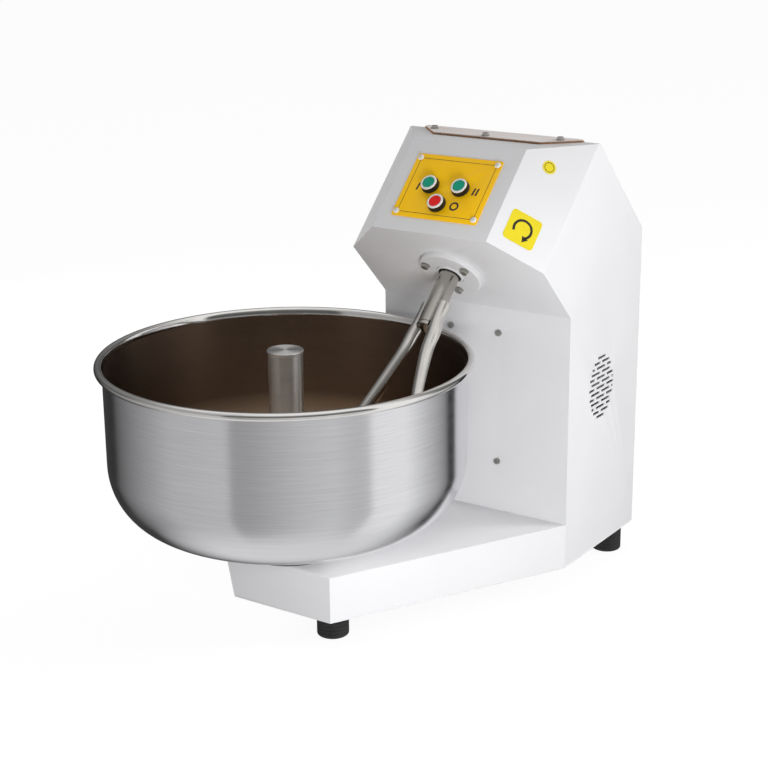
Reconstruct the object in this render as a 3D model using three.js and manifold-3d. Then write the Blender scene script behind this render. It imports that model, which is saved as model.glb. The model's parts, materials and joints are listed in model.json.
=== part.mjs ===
// A commercial fork dough mixer: a steel cabinet whose head leans over a turning bowl, a fork agitator
// on a shaft inclined at 45 degrees, a belt drive in the head and a chain drive under the bowl.
// Millimetres, +Z up, -Y is the bowl side. The design frame has the cabinet's centre plane at x = 0, its
// front face at y = 0 and the floor at z = 0. The exported group is moved so that its origin is the
// centre of the whole mixer's footprint, on the floor.
import * as THREE from 'three';
import { mergeVertices } from 'three/addons/utils/BufferGeometryUtils.js';
import Module from 'manifold-3d';

const wasm = await Module();
wasm.setup();

// ---- driving dimensions ---------------------------------------------------------------------------

const GAP = 0.3; // air left between neighbouring pieces
const SHEET = 2.5; // thickness of the cabinet's folded steel
const DIAGONAL = Math.SQRT1_2; // every slope of the head is at 45 degrees

const FOOT_HEIGHT = 44;
const FOOT_RADIUS = 28;
const PLATE_THICKNESS = 3;
const SHELL_BOTTOM = FOOT_HEIGHT + PLATE_THICKNESS + GAP;

const CABINET_HALF = 195; // half the cabinet's width
const CABINET_DEPTH = 276;
const CABINET_TOP = 810;
const FOLD_Z = 516; // where the head starts to lean out of the front face
const HEAD_REACH = 159; // how far the head overhangs the front face
const CHAMFER = 80; // the head's two vertical edges are cut back by this much
const APEX_Y = 94; // where the top turns into the rear slope

const TONGUE_TOP = 128;
const TONGUE_FRONT_Y = -425;
const TONGUE_LEFT_X = -253;
const TONGUE_RIGHT_X = -28;
const TONGUE_LEFT_LEAN = 17; // the left wall leans out by this much over its height

const BOWL_X = -163;
const BOWL_Y = -354;
const BOWL_RIM_RADIUS = 323;
const BOWL_WALL_RADIUS = 310;
const BOWL_RIM_Z = 476.5; // centre of the rolled rim
const RIM_BEAD = 7; // radius of the rolled rim
const BOWL_BOTTOM_Z = 194.5;
const BOWL_CORNER_WIDTH = 100;
const BOWL_CORNER_HEIGHT = 112;
const BOWL_SHEET = 2.5;
const POST_RADIUS = 30;
const POST_TOP_Z = BOWL_RIM_Z + 16;

const SHAFT_START = [0, -79, FOLD_Z + 79]; // where the agitator's axis leaves the head
const SHAFT_RADIUS = 18;
const SHAFT_END = 122; // distance along the axis of the shaft's lower end
const SHAFT_INNER = -196; // and of its upper end, inside the head
const TINE_RADIUS = 12;
const TINE_OFFSET = 21; // tine axis to shaft axis where they are welded together
const TINE_START = 72;
const TINE_TIP = 494;
const TINE_SPREAD = 103; // the widest point of each tine, from the shaft's axis
const FORK_TURN = Math.PI / 9; // the fork rests turned by this much about the shaft
const FLANGE_RADIUS = 58;
const FLANGE_BOLT_CIRCLE = 46;

const PANEL_DISTANCE = (HEAD_REACH + SHAFT_START[1]) * Math.SQRT2; // from the shaft's axis to the panel
const PULLEY_PLANE = -182; // middle of the belt, along the agitator's axis
const BELT_CENTRES = 200;
const AGITATOR_PULLEY_RADIUS = 75;
const MOTOR_PULLEY_RADIUS = 35;
const MOTOR_RADIUS = 64;
const DRIVE_PLATE = -158; // upper face of the inclined plate that carries the motor
const DRIVE_PLATE_THICKNESS = 8;
const HOUSING_RADIUS = 44;
const BEARING_RADIUS = 31;

const SPROCKET_Z = 84; // middle of the chain
const BOWL_SPROCKET_TEETH = 24;
const MOTOR_SPROCKET_TEETH = 8;
const SPROCKET_PITCH_RADIUS = 2.5; // pitch radius per tooth
const GEARMOTOR_X = -90;
const GEARMOTOR_Y = 96;

const PANEL_PLATE_WIDTH = 172;
const PANEL_PLATE_HEIGHT = 132;
const PANEL_PLATE_X = -2;
const PANEL_PLATE_CENTRE = 94; // up the sloping panel from its lower edge
const PANEL_PLATE_CORNER = 4;
const PANEL_PLATE_THICKNESS = 1.5;
const BUTTON_RADIUS = 14.5;
const BUTTON_HEIGHT = 12;
const CAP_RADIUS = 10.5;
const BUTTONS = [
  { name: 'button_speed_1', x: -35, up: 95, colour: 0x0b8a5f },
  { name: 'button_speed_2', x: 26, up: 95, colour: 0x0b8a5f },
  { name: 'button_stop', x: -6, up: 59, colour: 0xd01818 },
];

const GLAND_X = 120;
const GLAND_Z = 76;
const GLAND_REACH = 22; // how far the cable gland stands out of the rear wall

const VENT = {
  y: 127, z: 359, halfHeight: 60, halfWidth: 48, rows: 13, pitch: 9.4, slot: 34, height: 5, bridge: 6,
};

// ---- materials ------------------------------------------------------------------------------------

const paint = () => finish(0xf1f1f2, 0.35, 0);
const brushed = () => finish(0xb9b9bb, 0.35, 1);
const polished = () => finish(0xd6d6d4, 0.12, 1);
const zinc = () => finish(0xa9a7a0, 0.4, 1);
const castIron = () => finish(0x6a6d70, 0.6, 0.7);
const blackPlastic = () => finish(0x151515, 0.45, 0);
const rubber = () => finish(0x141414, 0.85, 0);

function finish(color, roughness, metalness) {
  return new THREE.MeshStandardMaterial({ color, roughness, metalness });
}

// ---- solids ---------------------------------------------------------------------------------------

// A closed three.js geometry as a manifold solid.
function solid(geometry) {
  const bare = geometry.index ? geometry.toNonIndexed() : geometry.clone();
  bare.deleteAttribute('normal');
  bare.deleteAttribute('uv');
  const merged = mergeVertices(bare, 1e-3);
  return new wasm.Manifold(
    new wasm.Mesh({
      numProp: 3,
      vertProperties: new Float32Array(merged.attributes.position.array),
      triVerts: new Uint32Array(merged.index.array),
    }),
  );
}

function geometryOf(manifold) {
  const mesh = manifold.getMesh();
  const geometry = new THREE.BufferGeometry();
  geometry.setAttribute('position', new THREE.BufferAttribute(new Float32Array(mesh.vertProperties), 3));
  geometry.setIndex(new THREE.BufferAttribute(new Uint32Array(mesh.triVerts), 1));
  geometry.computeVertexNormals();
  return geometry;
}

const subtract = (first, ...rest) => rest.reduce((left, right) => left.subtract(right), first);
const join = (first, ...rest) => rest.reduce((left, right) => left.add(right), first);

function box(from, to) {
  const size = to.map((value, axis) => value - from[axis]);
  const geometry = new THREE.BoxGeometry(...size);
  geometry.translate(...from.map((value, axis) => value + size[axis] / 2));
  return solid(geometry);
}

// A cylinder about the z axis between two heights.
function rod(radius, bottom, top, sides = 24) {
  return solid(revolve([[0, bottom], [radius, bottom], [radius, top], [0, top]], sides));
}

// A body of revolution about the z axis; the outline is [radius, height] and runs upwards outside.
function revolve(outline, sides) {
  const geometry = new THREE.LatheGeometry(outline.map(([r, z]) => new THREE.Vector2(r, z)), sides);
  return geometry.rotateX(Math.PI / 2);
}

function ring(inner, outer, bottom, top, sides = 24) {
  const outline = [[inner, bottom], [outer, bottom], [outer, top], [inner, top], [inner, bottom]];
  return solid(revolve(outline, sides));
}

// A plate with the given outline in x and y, between two heights.
function plate(outline, bottom, top) {
  const shape = new THREE.Shape(outline.map(([x, y]) => new THREE.Vector2(x, y)));
  return extrude(shape, bottom, top);
}

function extrude(shape, bottom, top, curveSegments = 4) {
  const options = { depth: top - bottom, bevelEnabled: false, curveSegments };
  return solid(new THREE.ExtrudeGeometry(shape, options).translate(0, 0, bottom));
}

function roundedRectangle(width, height, radius) {
  const shape = new THREE.Shape();
  const [x, y] = [width / 2 - radius, height / 2 - radius];
  shape.absarc(x, y, radius, 0, Math.PI / 2);
  shape.absarc(-x, y, radius, Math.PI / 2, Math.PI);
  shape.absarc(-x, -y, radius, Math.PI, 1.5 * Math.PI);
  shape.absarc(x, -y, radius, 1.5 * Math.PI, 2 * Math.PI);
  return shape;
}

// Everything in front of a plane, as a very large block: used to trim a solid.
function halfSpace(point, normal) {
  const size = 3000;
  const geometry = new THREE.BoxGeometry(size, size, size).translate(0, 0, size / 2);
  const turn = new THREE.Quaternion().setFromUnitVectors(
    new THREE.Vector3(0, 0, 1), new THREE.Vector3(...normal).normalize());
  return solid(geometry.applyQuaternion(turn).translate(...point));
}

// A solid drawn in a local frame, carried into the design frame.
function place(manifold, matrix) {
  return solid(geometryOf(manifold).applyMatrix4(matrix));
}

function frame(origin, xAxis, zAxis) {
  const x = new THREE.Vector3(...xAxis).normalize();
  const z = new THREE.Vector3(...zAxis).normalize();
  const y = new THREE.Vector3().crossVectors(z, x);
  return new THREE.Matrix4().makeBasis(x, y, z).setPosition(...origin);
}

// The sloping control panel: x to the right, y up the slope from its lower edge, z out of the panel.
const PANEL = frame([0, -HEAD_REACH, FOLD_Z + HEAD_REACH], [1, 0, 0], [0, -DIAGONAL, DIAGONAL]);
// The agitator's axis: z runs down the shaft from the head's lower face, y points at the panel.
const AGITATOR = frame(SHAFT_START, [1, 0, 0], [0, -DIAGONAL, -DIAGONAL]);
// The motor's axis, parallel to the agitator's and behind it.
const MOTOR = AGITATOR.clone().multiply(new THREE.Matrix4().makeTranslation(0, -BELT_CENTRES, 0));
const BOWL = new THREE.Matrix4().makeTranslation(BOWL_X, BOWL_Y, 0);
const GEARMOTOR = new THREE.Matrix4().makeTranslation(GEARMOTOR_X, GEARMOTOR_Y, 0);

const GLAND = frame([GLAND_X, CABINET_DEPTH, GLAND_Z], [1, 0, 0], [0, 1, 0]);
// The fork in its rest position, turned about the agitator's axis.
const FORK = AGITATOR.clone().multiply(new THREE.Matrix4().makeRotationZ(FORK_TURN));

const mixer = new THREE.Group();
mixer.name = 'fork_mixer';

function add(name, manifold, material, matrix) {
  const mesh = new THREE.Mesh(geometryOf(manifold), material);
  mesh.name = name;
  if (matrix) mesh.applyMatrix4(matrix);
  mixer.add(mesh);
}

// A hexagon-head bolt with its washer; z = 0 is the surface it is screwed to.
function hexBolt(acrossFlats, headHeight, shankRadius, shankLength) {
  const washer = rod(acrossFlats * 0.62, GAP, 1.6, 12);
  const head = rod(acrossFlats / Math.sqrt(3), 1.5, 1.5 + headHeight, 6);
  const shank = rod(shankRadius, -shankLength, 1, 8);
  return join(washer, head, shank);
}

// A round-head screw; z = 0 is the surface it is screwed to.
function roundScrew(radius, height) {
  const crown = [
    [0, GAP], [radius, GAP], [radius * 0.86, height * 0.7], [radius * 0.4, height], [0, height],
  ];
  return solid(revolve(crown, 12));
}

// ---- cabinet --------------------------------------------------------------------------------------

// The cabinet's side outline as [y, z], moved inwards by a wall thickness.
function cabinetOutline(inset) {
  const fold = inset * Math.tan(Math.PI / 8);
  const slope = inset * Math.SQRT2;
  const front = -HEAD_REACH;
  const nose = FOLD_Z + HEAD_REACH;
  const rise = CABINET_TOP - nose;
  const fall = CABINET_DEPTH - APEX_Y;
  return [
    [inset, SHELL_BOTTOM - 4 * inset],
    [inset, FOLD_Z + fold],
    [front + slope, nose],
    [front + rise + fold, CABINET_TOP - inset],
    [APEX_Y - fold, CABINET_TOP - inset],
    [CABINET_DEPTH - inset, CABINET_TOP - fall - fold],
    [CABINET_DEPTH - inset, SHELL_BOTTOM - 4 * inset],
  ];
}

function cabinetBlock(inset) {
  const half = CABINET_HALF - inset;
  const prism = plate(cabinetOutline(inset), -half, half);
  const upright = place(prism, frame([0, 0, 0], [0, 1, 0], [1, 0, 0]));
  const reach = CABINET_HALF - CHAMFER;
  const nose = [0, -HEAD_REACH, FOLD_Z + HEAD_REACH];
  const chamfers = [1, -1].map((side) => {
    const normal = [side * DIAGONAL, -0.5, 0.5];
    return halfSpace(nose.map((v, i) => v + (i ? 0 : side * reach) - normal[i] * inset), normal);
  });
  return subtract(upright, ...chamfers);
}

// Slots in an oval field on the right-hand wall, alternate rows staggered.
function ventSlots() {
  const slots = [];
  const step = VENT.slot + VENT.bridge;
  for (let row = 0; row < VENT.rows; row += 1) {
    const z = (row - (VENT.rows - 1) / 2) * VENT.pitch;
    const reach = VENT.halfWidth * Math.sqrt(1 - (z / VENT.halfHeight) ** 2);
    for (let start = (row % 2 ? -2 : -2.5) * step; start < reach; start += step) {
      const from = Math.max(start, -reach);
      const to = Math.min(start + VENT.slot, reach);
      if (to - from < VENT.height) continue;
      slots.push(box(
        [CABINET_HALF - 2 * SHEET, VENT.y + from, VENT.z + z - VENT.height / 2],
        [CABINET_HALF + 1, VENT.y + to, VENT.z + z + VENT.height / 2]));
    }
  }
  return slots;
}

const CHAIN_WINDOW = [[-175, -1, 58], [10, SHEET + 1, 112]];
const TOP_WINDOW = [[-90, 48, 650], [90, 165, 900]];
const REAR_WINDOW = { half: 125, bottom: 110, top: 560 };
const COLUMN_BOLTS = [[-50, 469], [50, 469], [-50, 224], [50, 224]];
const FLANGE_BOLT_ANGLES = [Math.PI / 6, (5 * Math.PI) / 6, (3 * Math.PI) / 2];

function bodyShell() {
  const hollow = subtract(cabinetBlock(0), cabinetBlock(SHEET));
  const rearWindow = box(
    [-REAR_WINDOW.half, CABINET_DEPTH - 2 * SHEET, REAR_WINDOW.bottom],
    [REAR_WINDOW.half, CABINET_DEPTH + 1, REAR_WINDOW.top]);
  const boltHoles = COLUMN_BOLTS.map(([x, z]) =>
    place(rod(4.5, -20, 20, 10), frame([x, 0, z], [1, 0, 0], [0, -1, 0])));
  const flangeHoles = FLANGE_BOLT_ANGLES.map((angle) => place(
    rod(4.5, -20, 20, 10).translate(
      FLANGE_BOLT_CIRCLE * Math.cos(angle), FLANGE_BOLT_CIRCLE * Math.sin(angle), 0),
    AGITATOR));
  const buttonHoles = BUTTONS.map(({ x, up }) =>
    place(rod(11.5, -20, 20, 16).translate(x, up, 0), PANEL));
  const shaftHole = place(rod(24, -20, 20), AGITATOR);
  const glandHole = place(rod(10.5, -20, 20, 16), GLAND);
  return subtract(
    hollow, rearWindow, box(...CHAIN_WINDOW), box(...TOP_WINDOW), shaftHole, glandHole,
    ...boltHoles, ...flangeHoles, ...buttonHoles, ...ventSlots());
}

// The low box that carries the bowl: it flares to the right, towards the cabinet.
function tongueOutline(inset) {
  const front = TONGUE_FRONT_Y + inset;
  const rear = inset ? 20 : -GAP; // the hollow runs out through the back, where the cabinet closes it
  const flare = (CABINET_HALF - TONGUE_RIGHT_X) / -TONGUE_FRONT_Y;
  const rightWall = (y) => CABINET_HALF + flare * y - inset * Math.hypot(1, flare);
  return [[TONGUE_LEFT_X, front], [rightWall(front), front], [rightWall(rear), rear], [-CABINET_HALF, rear]];
}

function tongueBlock(inset) {
  const block = plate(tongueOutline(inset), SHELL_BOTTOM - 4 * inset, TONGUE_TOP - inset);
  const along = new THREE.Vector3(-CABINET_HALF - TONGUE_LEFT_X, -TONGUE_FRONT_Y, 0);
  const down = new THREE.Vector3(TONGUE_LEFT_LEAN, 0, FOOT_HEIGHT - TONGUE_TOP);
  const normal = along.cross(down).normalize();
  const corner = new THREE.Vector3(TONGUE_LEFT_X, TONGUE_FRONT_Y, TONGUE_TOP);
  corner.addScaledVector(normal, -inset);
  return subtract(block, halfSpace(corner.toArray(), normal.toArray()));
}

function baseTongue() {
  const hollow = subtract(tongueBlock(0), tongueBlock(SHEET));
  const spindleHole = place(rod(53, TONGUE_TOP - 20, TONGUE_TOP + 20), BOWL);
  return subtract(hollow, spindleHole);
}

// The floor of the cabinet and tongue in one piece, with the feet under it.
function basePlate() {
  const outline = [
    [TONGUE_LEFT_X + TONGUE_LEFT_LEAN, TONGUE_FRONT_Y], [TONGUE_RIGHT_X, TONGUE_FRONT_Y],
    [CABINET_HALF, 0], [CABINET_HALF, CABINET_DEPTH], [-CABINET_HALF, CABINET_DEPTH], [-CABINET_HALF, 0],
    [-CABINET_HALF + TONGUE_LEFT_LEAN, 0],
  ];
  return plate(outline, FOOT_HEIGHT, FOOT_HEIGHT + PLATE_THICKNESS);
}

const FEET = {
  foot_front_right: [-58, -376],
  foot_front_left: [-175, -205],
  foot_rear_right: [166, 225],
  foot_rear_left: [-166, 225],
};

function foot() {
  const top = FOOT_HEIGHT - GAP;
  const outline = [
    [0, 0], [FOOT_RADIUS - 3, 0], [FOOT_RADIUS - 1, 2], [FOOT_RADIUS, 8], [FOOT_RADIUS, top - 6],
    [FOOT_RADIUS - 2, top], [0, top],
  ];
  return solid(revolve(outline, 20));
}

// ---- covers ---------------------------------------------------------------------------------------

// The service cover lies on the rear half of the top and runs down the rear slope.
const COVER = { front: 34, halfFront: 108, halfRear: 160, slope: 215, gasket: 2, sheet: 1.5 };

function coverLayer(bottom, top, margin) {
  const front = COVER.front - margin;
  const flat = plate([
    [-COVER.halfFront - margin * 0.4, front], [COVER.halfFront + margin * 0.4, front],
    [COVER.halfRear + margin, APEX_Y - 6], [COVER.halfRear + margin, APEX_Y + 20],
    [-COVER.halfRear - margin, APEX_Y + 20], [-COVER.halfRear - margin, APEX_Y - 6],
  ], CABINET_TOP + bottom, CABINET_TOP + top);
  const half = COVER.halfRear + margin;
  const end = COVER.slope + margin;
  const slope = plate([[-half, -40], [half, -40], [half, end], [-half, end]], bottom, top);
  const apex = [0, APEX_Y, CABINET_TOP];
  const down = place(slope, frame(apex, [1, 0, 0], [0, DIAGONAL, DIAGONAL]));
  // The two leaves meet on the bisector of the bend, with a hair of overlap.
  const bend = Math.PI / 8;
  const bisector = [0, Math.cos(bend), -Math.sin(bend)];
  const behind = apex.map((value, axis) => value + 0.05 * bisector[axis]);
  return join(
    subtract(flat, halfSpace(behind, bisector)),
    subtract(down, halfSpace(apex, bisector.map((value) => -value))));
}

const serviceCover = () => coverLayer(GAP * 2 + COVER.gasket, GAP * 2 + COVER.gasket + COVER.sheet, 0);
const serviceGasket = () => coverLayer(GAP, GAP + COVER.gasket, 2.5);

const COVER_BOLTS = [[-6, COVER.front + 8.5], [-128, 66.5], [130, 69]];

function rearCover() {
  const half = REAR_WINDOW.half + 16;
  const panel = box(
    [-half, CABINET_DEPTH + GAP, REAR_WINDOW.bottom - 16],
    [half, CABINET_DEPTH + GAP + 1.5, REAR_WINDOW.top + 16]);
  const slots = [];
  for (let row = 0; row < 8; row += 1) {
    const z = REAR_WINDOW.top - 60 - row * 14;
    slots.push(box([-60, CABINET_DEPTH - 5, z], [60, CABINET_DEPTH + 5, z + 5]));
  }
  return subtract(panel, ...slots);
}

function cableGland() {
  const outline = [
    [0, -12], [10, -12], [10, GAP], [14, GAP], [14, 7], [11.5, 8], [11, 18], [8.5, GLAND_REACH],
    [5, GLAND_REACH], [5, 6], [0, 6],
  ];
  return solid(revolve(outline, 16));
}

// ---- controls -------------------------------------------------------------------------------------

function controlPlate() {
  const shape = roundedRectangle(PANEL_PLATE_WIDTH, PANEL_PLATE_HEIGHT, PANEL_PLATE_CORNER);
  const blank = extrude(shape, GAP, GAP + PANEL_PLATE_THICKNESS)
    .translate(PANEL_PLATE_X, PANEL_PLATE_CENTRE, 0);
  return subtract(blank, ...BUTTONS.map(({ x, up }) => rod(11.5, -5, 5, 16).translate(x, up, 0)));
}

// The black barrel with its neck through the panel and the contact block behind it.
function buttonHousing() {
  const base = GAP * 2 + PANEL_PLATE_THICKNESS;
  const rim = base + BUTTON_HEIGHT;
  const well = rim - 9;
  const outline = [
    [0, -30], [10.8, -30], [10.8, base], [BUTTON_RADIUS + 2, base], [BUTTON_RADIUS + 1.6, rim - 6],
    [BUTTON_RADIUS, rim - 5], [BUTTON_RADIUS - 0.4, rim - 1], [BUTTON_RADIUS - 1.6, rim],
    [CAP_RADIUS + 0.6, rim - 0.8], [CAP_RADIUS + 0.6, well], [0, well],
  ];
  const block = box([-14, -19, -3 - SHEET - 38], [14, 19, -3 - SHEET]);
  return join(solid(revolve(outline, 18)), block);
}

function buttonCap() {
  const rim = GAP * 2 + PANEL_PLATE_THICKNESS + BUTTON_HEIGHT;
  const outline = [
    [0, rim - 4], [CAP_RADIUS, rim - 4], [CAP_RADIUS, rim - 0.6], [CAP_RADIUS - 1, rim + 0.2],
    [0, rim - 0.3],
  ];
  return solid(revolve(outline, 18));
}

// ---- agitator and its drive -----------------------------------------------------------------------

// The centre line of one tine, in the fork's frame, on the +x side of the shaft.
function tinePath() {
  const points = [
    [TINE_OFFSET, TINE_START], [TINE_OFFSET + 0.5, 100], [TINE_OFFSET + 6, 136], [TINE_OFFSET + 9, 166],
    [TINE_OFFSET + 25, 222], [TINE_OFFSET + 55, 308], [TINE_SPREAD - 6, 370], [TINE_SPREAD, 420],
    [TINE_SPREAD - 22, 464], [TINE_SPREAD - 57, TINE_TIP],
  ];
  const stations = points.map(([x, z]) => new THREE.Vector3(x, 0, z));
  return new THREE.CatmullRomCurve3(stations, false, 'centripetal');
}

function tine() {
  const section = new THREE.Shape().absarc(0, 0, TINE_RADIUS, 0, 2 * Math.PI);
  const path = tinePath();
  const tube = new THREE.ExtrudeGeometry(section, { extrudePath: path, steps: 20, curveSegments: 6 });
  const tip = new THREE.SphereGeometry(TINE_RADIUS, 10, 6).translate(...path.getPoint(1).toArray());
  return join(solid(tube), solid(tip));
}

// The shaft, let in on both sides where the tines are welded on, with a ring at its end.
function agitatorShaft() {
  const neck = SHAFT_END - 9;
  const outline = [
    [0, SHAFT_INNER], [16, SHAFT_INNER], [16, DRIVE_PLATE + 2], [SHAFT_RADIUS, DRIVE_PLATE + 2],
    [SHAFT_RADIUS, neck], [SHAFT_RADIUS - 1.5, neck + 1], [SHAFT_RADIUS - 1.5, neck + 3],
    [SHAFT_RADIUS + 0.5, neck + 4], [SHAFT_RADIUS + 0.5, SHAFT_END - 1], [SHAFT_RADIUS - 1, SHAFT_END],
    [0, SHAFT_END],
  ];
  const seats = [1, -1].map((side) => rod(TINE_RADIUS + 2 * GAP, TINE_START - GAP, SHAFT_END + 5, 28)
    .translate(side * TINE_OFFSET, 0, 0));
  return subtract(solid(revolve(outline, 32)), ...seats);
}

function agitatorFlange() {
  const outline = [
    [26, GAP], [FLANGE_RADIUS, GAP], [FLANGE_RADIUS, 7], [FLANGE_RADIUS - 3, 10], [26, 10], [26, GAP],
  ];
  const holes = FLANGE_BOLT_ANGLES.map((angle) => rod(4.5, -5, 20, 10).translate(
    FLANGE_BOLT_CIRCLE * Math.cos(angle), FLANGE_BOLT_CIRCLE * Math.sin(angle), 0));
  return subtract(solid(revolve(outline, 28)), ...holes);
}

const agitatorSeal = () => ring(SHAFT_RADIUS + 0.5, 25.5, 1, 11.5);
const HOUSING_BOTTOM = -SHEET - GAP;
const HOUSING_TOP = DRIVE_PLATE + DRIVE_PLATE_THICKNESS + GAP;

// The tube that holds the shaft's two bearings, from the head's lower face to the drive plate.
function bearingHousing() {
  const outline = [
    [22, HOUSING_BOTTOM], [HOUSING_RADIUS + 12, HOUSING_BOTTOM], [HOUSING_RADIUS + 12, HOUSING_BOTTOM - 8],
    [HOUSING_RADIUS, HOUSING_BOTTOM - 8], [HOUSING_RADIUS, HOUSING_TOP], [BEARING_RADIUS, HOUSING_TOP],
    [BEARING_RADIUS, HOUSING_TOP + 20], [24, HOUSING_TOP + 20], [24, HOUSING_BOTTOM - 28],
    [BEARING_RADIUS, HOUSING_BOTTOM - 28], [BEARING_RADIUS, HOUSING_BOTTOM - 10],
    [22, HOUSING_BOTTOM - 10], [22, HOUSING_BOTTOM],
  ];
  return solid(revolve(outline.reverse(), 24));
}

const upperBearing = () =>
  ring(SHAFT_RADIUS + GAP, BEARING_RADIUS - GAP, HOUSING_TOP + GAP, HOUSING_TOP + 18);
const lowerBearing = () =>
  ring(SHAFT_RADIUS + GAP, BEARING_RADIUS - GAP, HOUSING_BOTTOM - 27.5, HOUSING_BOTTOM - 10.5);

// The inclined plate across the head, with the shaft and the motor's boss through it.
function drivePlate() {
  const half = CABINET_HALF - SHEET - GAP;
  const front = PANEL_DISTANCE - 15;
  const corner = CABINET_HALF - CHAMFER + PANEL_DISTANCE - SHEET * Math.SQRT2 - 2 * GAP;
  const blank = plate([
    [-half, -265], [half, -265], [half, corner - half], [corner - front, front],
    [front - corner, front], [-half, corner - half],
  ], DRIVE_PLATE, DRIVE_PLATE + DRIVE_PLATE_THICKNESS);
  return subtract(blank, rod(20, -200, -100), rod(26, -200, -100).translate(0, -BELT_CENTRES, 0));
}

function motorBody() {
  const top = DRIVE_PLATE + DRIVE_PLATE_THICKNESS + GAP;
  const outline = [
    [0, top - 9], [24, top - 9], [24, top], [MOTOR_RADIUS, top], [MOTOR_RADIUS, top + 12],
    [MOTOR_RADIUS - 5, top + 14], [MOTOR_RADIUS - 5, top + 108], [MOTOR_RADIUS, top + 110],
    [MOTOR_RADIUS, top + 128], [MOTOR_RADIUS - 8, top + 136], [0, top + 136],
  ];
  const bore = rod(9.5, top - 10, top + 30, 12);
  const terminals = box([-30, -MOTOR_RADIUS - 22, top + 35], [30, -MOTOR_RADIUS + 12, top + 95]);
  return subtract(join(solid(revolve(outline, 24)), terminals), bore);
}

// A grooved belt pulley about z = 0, with a boss and a bore.
function pulley(radius, bore, sides) {
  const outline = [
    [bore, -10], [radius + 4, -10], [radius + 4, -8], [radius - 3, -4], [radius - 3, 4],
    [radius + 4, 8], [radius + 4, 10], [bore, 10], [bore, -10],
  ];
  return solid(revolve(outline, sides));
}

const agitatorPulley = () => pulley(AGITATOR_PULLEY_RADIUS, 16 + GAP, 32).translate(0, 0, PULLEY_PLANE);

// The motor's shaft and pulley turn as one piece; the shaft runs down into the motor's bore.
function motorPulley() {
  const shaft = rod(9, PULLEY_PLANE - 12, DRIVE_PLATE + DRIVE_PLATE_THICKNESS + 25, 12);
  return join(pulley(MOTOR_PULLEY_RADIUS, 8, 24).translate(0, 0, PULLEY_PLANE), shaft);
}

// The outline of a belt or chain wrapped round two wheels: wheel 1 at the origin, wheel 2 at (0, reach).
function loopOutline(radius1, radius2, reach) {
  const lean = Math.asin((radius1 - radius2) / reach);
  const shape = new THREE.Shape();
  shape.absarc(0, 0, radius1, Math.PI - lean, 2 * Math.PI + lean);
  shape.absarc(0, reach, radius2, lean, Math.PI - lean);
  return shape;
}

function loopBand(radius1, radius2, reach, thickness, bottom, top) {
  const outer = extrude(loopOutline(radius1 + thickness, radius2 + thickness, reach), bottom, top, 9);
  const inner = extrude(loopOutline(radius1, radius2, reach), bottom - 1, top + 1, 9);
  return subtract(outer, inner);
}

function driveBelt() {
  const band = loopBand(
    AGITATOR_PULLEY_RADIUS - 2.4, MOTOR_PULLEY_RADIUS - 2.6, BELT_CENTRES, 6.5, -3.4, 3.4);
  return band.rotate([0, 0, 180]).translate(0, 0, PULLEY_PLANE);
}

// ---- bowl and its drive ---------------------------------------------------------------------------

// The bowl's wall outline, upwards, for the outside (inset 0) or the inside (inset one sheet).
function bowlOutline(inset) {
  const radius = BOWL_WALL_RADIUS - inset;
  const width = BOWL_CORNER_WIDTH - inset;
  const height = BOWL_CORNER_HEIGHT - inset;
  const bottom = BOWL_BOTTOM_Z + inset;
  const outline = [[0, bottom]];
  const steps = 6;
  for (let step = 0; step <= steps; step += 1) {
    const angle = (step / steps) * (Math.PI / 2);
    outline.push([radius - width + width * Math.sin(angle), bottom + height * (1 - Math.cos(angle))]);
  }
  return outline;
}

function bowlShell() {
  const rim = [];
  const centre = BOWL_RIM_RADIUS - RIM_BEAD;
  const steps = 7;
  for (let step = 0; step <= steps; step += 1) {
    const angle = -0.7 * Math.PI + (step / steps) * 1.6 * Math.PI;
    rim.push([centre + RIM_BEAD * Math.cos(angle), BOWL_RIM_Z + RIM_BEAD * Math.sin(angle)]);
  }
  const outline = [...bowlOutline(0), ...rim, ...bowlOutline(BOWL_SHEET).reverse()];
  return subtract(solid(revolve(outline, 44)), rod(9, BOWL_BOTTOM_Z - 5, BOWL_BOTTOM_Z + 10, 20));
}

// The post stands in the middle of the bowl; a stud on the spindle comes up inside it.
function bowlPost() {
  const foot = BOWL_BOTTOM_Z + BOWL_SHEET + GAP;
  const outline = [
    [0, foot + 40], [9, foot + 40], [9, foot], [POST_RADIUS + 1.5, foot], [POST_RADIUS + 1.5, foot + 3],
    [POST_RADIUS, foot + 5], [POST_RADIUS, POST_TOP_Z - 3], [POST_RADIUS - 3, POST_TOP_Z], [0, POST_TOP_Z],
  ];
  return solid(revolve(outline, 24));
}

const SPINDLE_RADIUS = 20;

function bowlHub() {
  const top = BOWL_BOTTOM_Z - GAP;
  const outline = [
    [0, SPROCKET_Z - 16], [12, SPROCKET_Z - 16], [12, SPROCKET_Z + 8], [SPINDLE_RADIUS, SPROCKET_Z + 8],
    [SPINDLE_RADIUS, top - 22], [50, top - 20], [70, top - 12], [70, top], [8, top], [8, top + 30],
    [0, top + 30],
  ];
  return solid(revolve(outline, 24));
}

function bowlBearingHousing() {
  const outline = [
    [26, 102], [50, 102], [50, TONGUE_TOP + GAP], [82, TONGUE_TOP + GAP], [82, TONGUE_TOP + 9],
    [52, TONGUE_TOP + 12], [46, TONGUE_TOP + 40], [SPINDLE_RADIUS + GAP, TONGUE_TOP + 40],
    [SPINDLE_RADIUS + GAP, TONGUE_TOP + 20], [26, TONGUE_TOP + 20], [26, 102],
  ];
  return solid(revolve(outline, 24));
}

const bowlBearing = () => ring(SPINDLE_RADIUS + GAP, 26 - GAP, 104, 122);

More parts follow.
